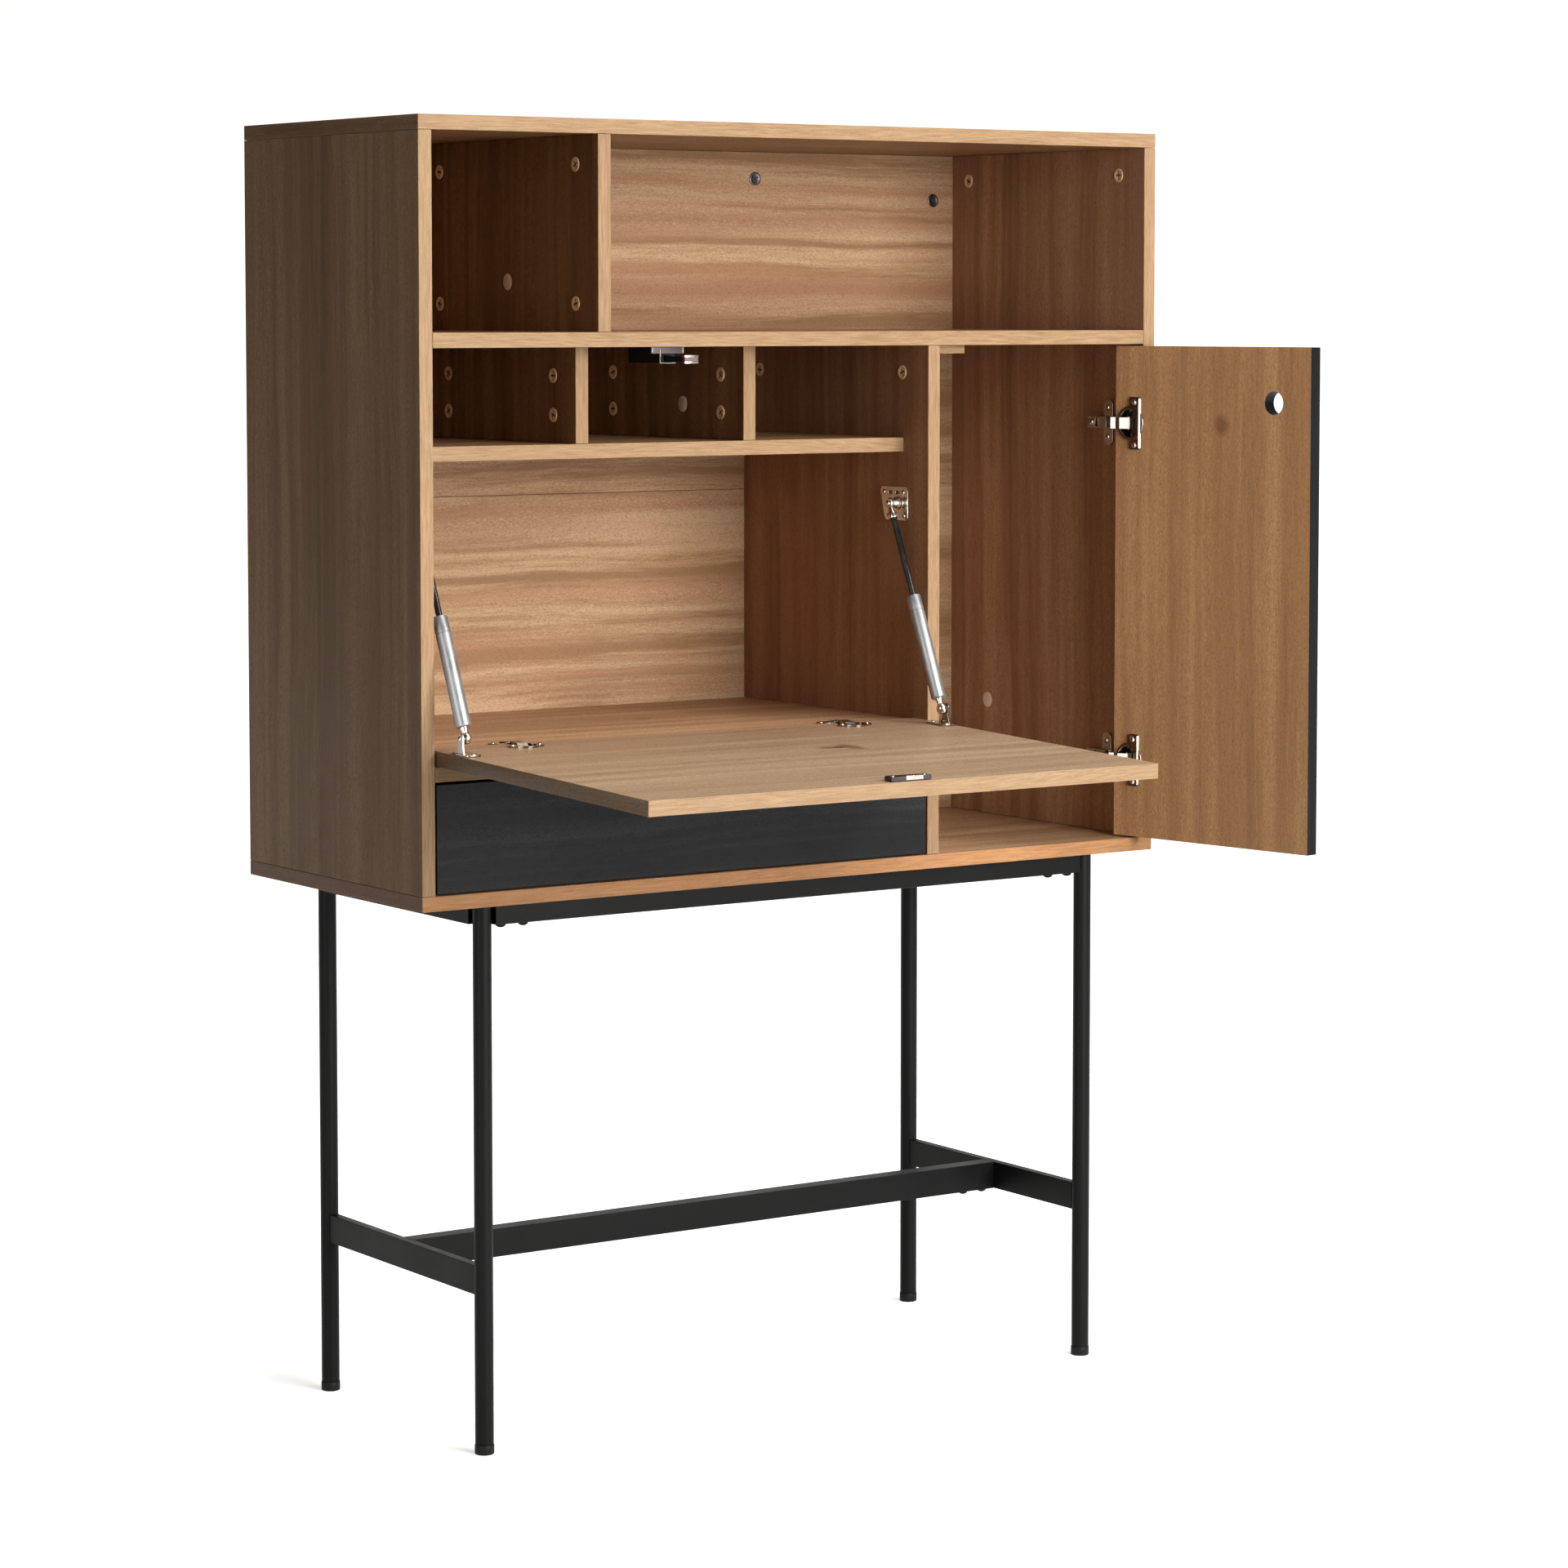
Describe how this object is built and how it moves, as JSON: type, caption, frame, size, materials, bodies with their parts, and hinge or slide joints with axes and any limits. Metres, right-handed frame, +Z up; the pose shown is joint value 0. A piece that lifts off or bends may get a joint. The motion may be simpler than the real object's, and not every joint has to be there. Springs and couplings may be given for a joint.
{
  "type": "secretary desk",
  "caption": "Tall secretary desk: open top bays, pigeonholes, drop-down writing flap on gas struts, drawer and side cupboard, on a slender black steel leg frame with an H stretcher.",
  "frame": {"origin": "on the floor, under the middle of the object's box as it stands with the flap down, the door open and the drawer shut", "axes": "+X to the right seen from the front, +Y from the front to the back, +Z up"},
  "size_m": [0.9466, 0.7534, 1.34],
  "materials": {
    "oak_carcass": "satin lacquered oak veneer, grain along each panel",
    "oak_flap": "satin lacquered oak veneer, grain from side to side, a few small knots",
    "oak_drawer_box": "plain sealed wood",
    "black_oak": "black-stained open-grain veneer, satin; the inner face of the door is brown oak",
    "black_steel": "black powder coat, satin",
    "black_plastic": "moulded black plastic",
    "dark_plastic": "dark red-brown moulded plastic round a bright steel strip",
    "nickel": "nickel-plated pressed steel",
    "grey_tube": "silver-grey painted steel tube",
    "black_rod": "black nitrided steel rod",
    "zinc_slide": "zinc-plated steel"
  },
  "bodies": {
    "cabinet": {"top_panel": "oak_carcass", "bottom_panel": "oak_carcass", "side_panel_left": "oak_carcass", "side_panel_right": "oak_carcass", "back_panel_upper": "oak_carcass", "back_panel_lower": "oak_carcass", "main_shelf": "oak_carcass", "centre_partition": "oak_carcass", "top_bay_divider": "oak_carcass", "pigeonhole_shelf": "oak_carcass", "pigeonhole_divider_left": "oak_carcass", "pigeonhole_divider_right": "oak_carcass", "desk_surface": "oak_carcass", "drawer_bay_top": "oak_carcass", "door_stop_block": "oak_carcass", "strut_wall_plate_left": "nickel", "strut_wall_plate_right": "nickel", "flap_hinge_plate_left": "nickel", "flap_hinge_plate_right": "nickel", "door_hinge_arm_lower": "nickel", "door_hinge_arm_upper": "nickel", "drawer_rail_left": "zinc_slide", "drawer_rail_right": "zinc_slide", "latch_housing": "black_plastic", "leg_front_left": "black_steel", "leg_front_right": "black_steel", "leg_rear_left": "black_steel", "leg_rear_right": "black_steel", "foot_front_left": "black_plastic", "foot_front_right": "black_plastic", "foot_rear_left": "black_plastic", "foot_rear_right": "black_plastic", "frame_side_bar_left": "black_steel", "frame_side_bar_right": "black_steel", "frame_beam_front": "black_steel", "frame_beam_rear": "black_steel", "stretcher_side_left": "black_steel", "stretcher_side_right": "black_steel", "stretcher_long": "black_steel"},
    "flap": {"flap_panel": "oak_flap", "flap_hinge_cup_left": "nickel", "flap_hinge_cup_right": "nickel", "flap_strike_plate": "dark_plastic", "strut_flap_bracket_left": "nickel", "strut_flap_bracket_right": "nickel"},
    "strut_tube_left": {"strut_tube_left": "grey_tube"},
    "strut_tube_right": {"strut_tube_right": "grey_tube"},
    "strut_rod_left": {"strut_rod_left": "black_rod"},
    "strut_rod_right": {"strut_rod_right": "black_rod"},
    "door": {"door_panel": "black_oak", "door_hinge_cup_lower": "nickel", "door_hinge_cup_upper": "nickel"},
    "drawer": {"drawer_front": "black_oak", "drawer_side_left": "oak_drawer_box", "drawer_side_right": "oak_drawer_box", "drawer_back": "oak_drawer_box", "drawer_bottom": "oak_drawer_box", "drawer_slide_left": "zinc_slide", "drawer_slide_right": "zinc_slide"},
    "latch_plunger": {"latch_plunger": "nickel"}
  },
  "joints": [
    {"name": "flap_hinge", "type": "hinge", "parent": "cabinet", "child": "flap", "pos_m": [-0.15826, 0.02172, 0.7115], "axis": [1, 0, 0], "range_deg": [-92, 0]},
    {"name": "door_hinge", "type": "hinge", "parent": "cabinet", "child": "door", "pos_m": [0.41784, 0.02222, 0.842], "axis": [0, 0, 1], "range_deg": [-100, 0]},
    {"name": "drawer_slide", "type": "slide", "parent": "cabinet", "child": "drawer", "axis": [0, -1, 0], "range_m": [0, 0.25]},
    {"name": "latch_slide", "type": "slide", "parent": "cabinet", "child": "latch_plunger", "axis": [0, 1, 0], "range_m": [-0.0002, 0.025]},
    {"name": "strut_foot_left", "type": "hinge", "parent": "flap", "child": "strut_tube_left", "pos_m": [-0.44626, -0.02902, 0.73174], "axis": [1, 0, 0], "range_deg": [-0.2, 109.6]},
    {"name": "strut_stroke_left", "type": "slide", "parent": "strut_tube_left", "child": "strut_rod_left", "axis": [0, 0.4022, 0.9156], "range_m": [-0.0484, 0.0002]},
    {"name": "strut_foot_right", "type": "hinge", "parent": "flap", "child": "strut_tube_right", "pos_m": [0.12974, -0.02902, 0.73174], "axis": [1, 0, 0], "range_deg": [-0.2, 109.6]},
    {"name": "strut_stroke_right", "type": "slide", "parent": "strut_tube_right", "child": "strut_rod_right", "axis": [0, 0.4022, 0.9156], "range_m": [-0.0484, 0.0002]}
  ],
  "couplings": [
    {"joint": "latch_slide", "follows": "flap_hinge", "m_per_rad": -0.015445},
    {"joint": "strut_foot_left", "follows": "flap_hinge", "ratio": -1.1881},
    {"joint": "strut_stroke_left", "follows": "flap_hinge", "m_per_rad": 0.030009},
    {"joint": "strut_foot_right", "follows": "flap_hinge", "ratio": -1.1881},
    {"joint": "strut_stroke_right", "follows": "flap_hinge", "m_per_rad": 0.030009}
  ]
}
